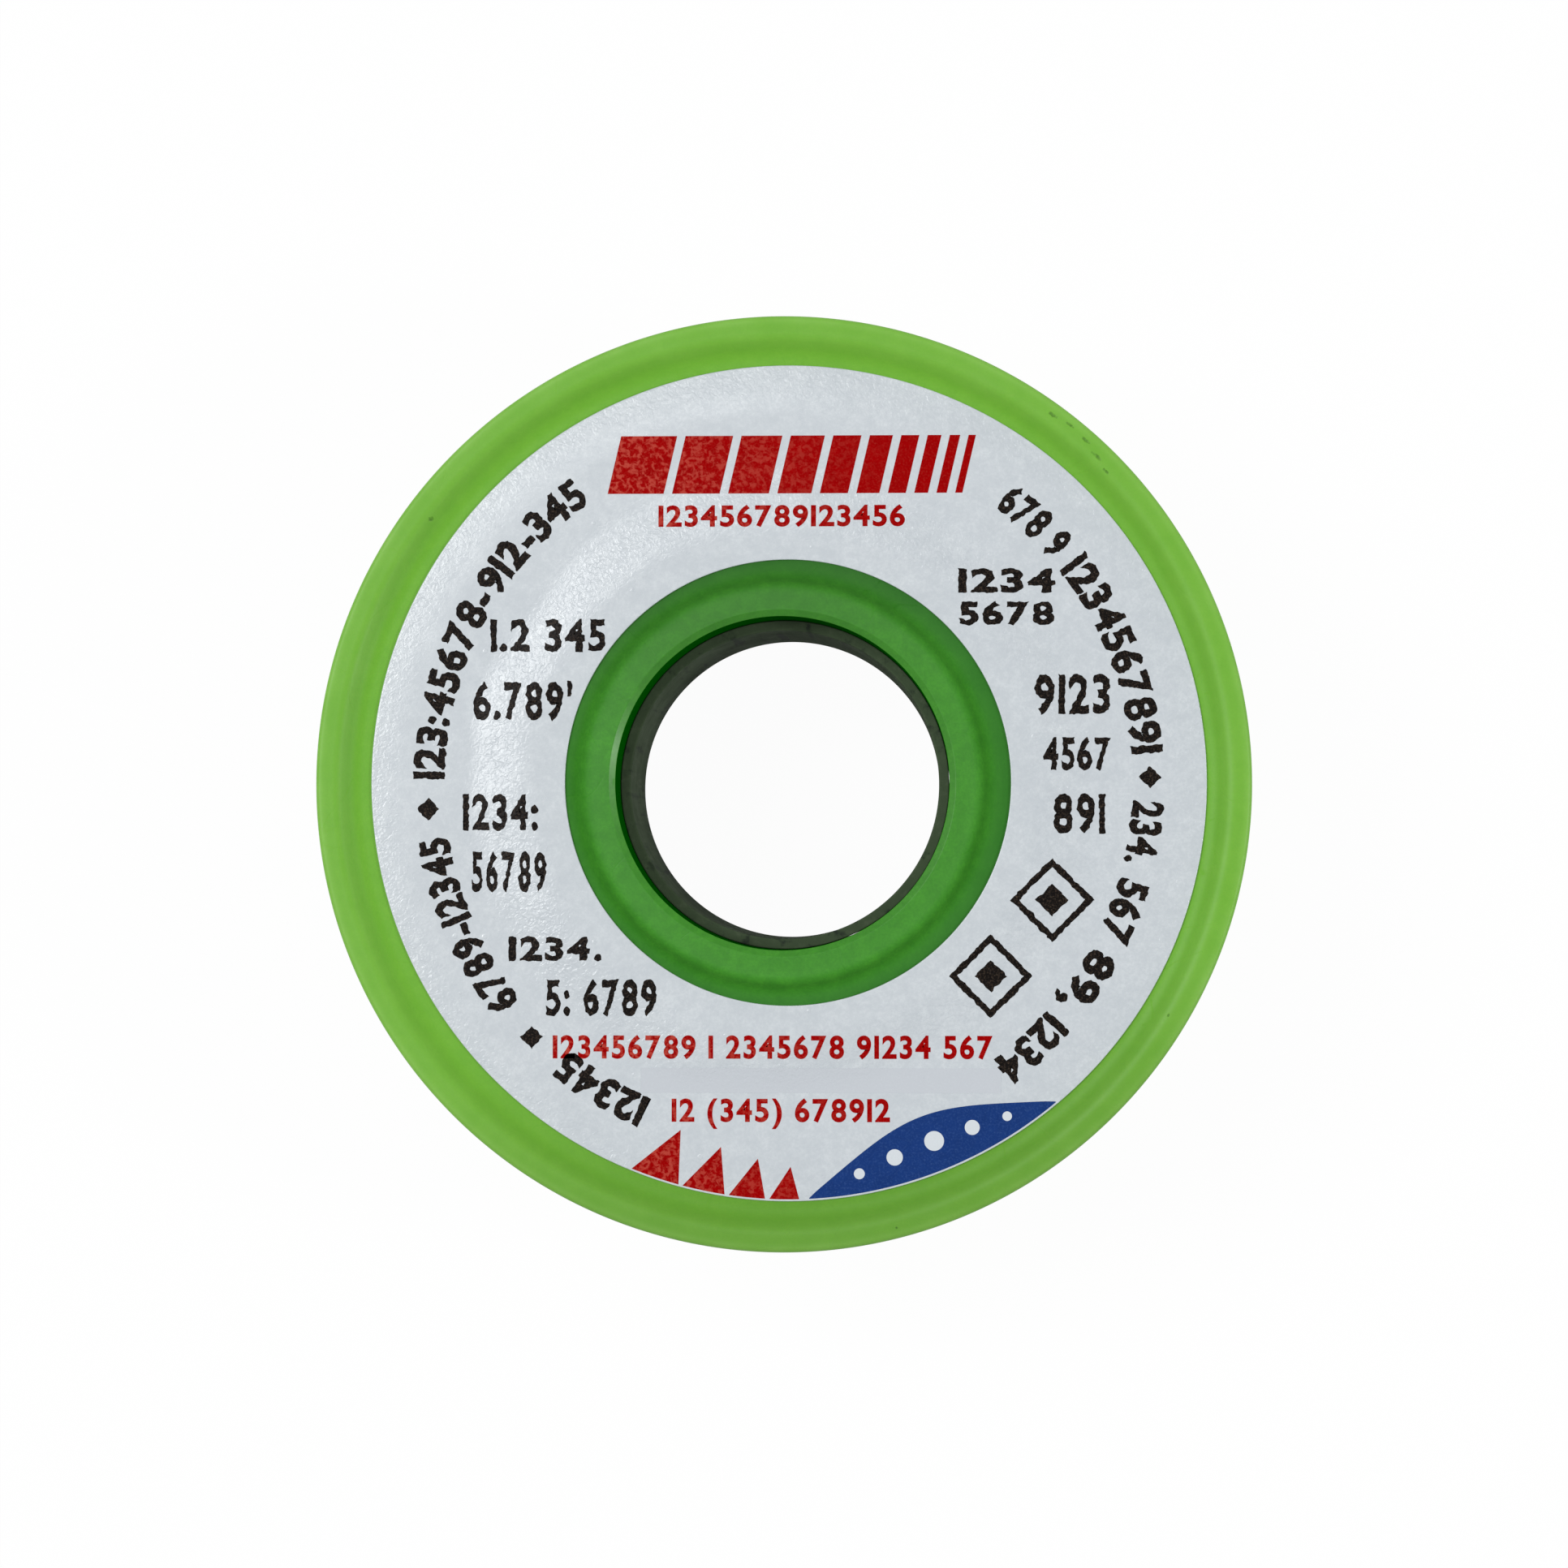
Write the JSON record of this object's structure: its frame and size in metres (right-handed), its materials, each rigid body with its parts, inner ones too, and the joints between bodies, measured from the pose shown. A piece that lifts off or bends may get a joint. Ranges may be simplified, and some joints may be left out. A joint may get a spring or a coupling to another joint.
{
  "type": "solder wire spool",
  "caption": "Small plastic spool of thin solder wire, with rimmed flanges pressed on a hub, a tube-lined bore for a spindle and an annular paper label on the front flange.",
  "frame": {"origin": "on the spool's axis, in the plane of the rear rim that the spool lies on", "axes": "+Z along the bore, out of the labelled flange; +X to the right and +Y to the top of the label's print"},
  "size_m": [0.055, 0.055, 0.02],
  "materials": {
    "flange_plastic": "satin, moulded",
    "hub_plastic": "satin, moulded",
    "tube_plastic": "matte",
    "label_film": "satin",
    "solder": "drawn",
    "ink_black": "printed",
    "ink_red": "printed",
    "ink_blue": "printed",
    "ink_grey": "printed"
  },
  "bodies": {
    "root": {"front_flange": "flange_plastic", "rear_flange": "flange_plastic", "front_hub": "hub_plastic", "rear_hub": "hub_plastic", "core_tube": "tube_plastic", "front_label": "label_film", "solder_inner_layers": "solder", "solder_outer_layer": "solder"}
  },
  "joints": []
}
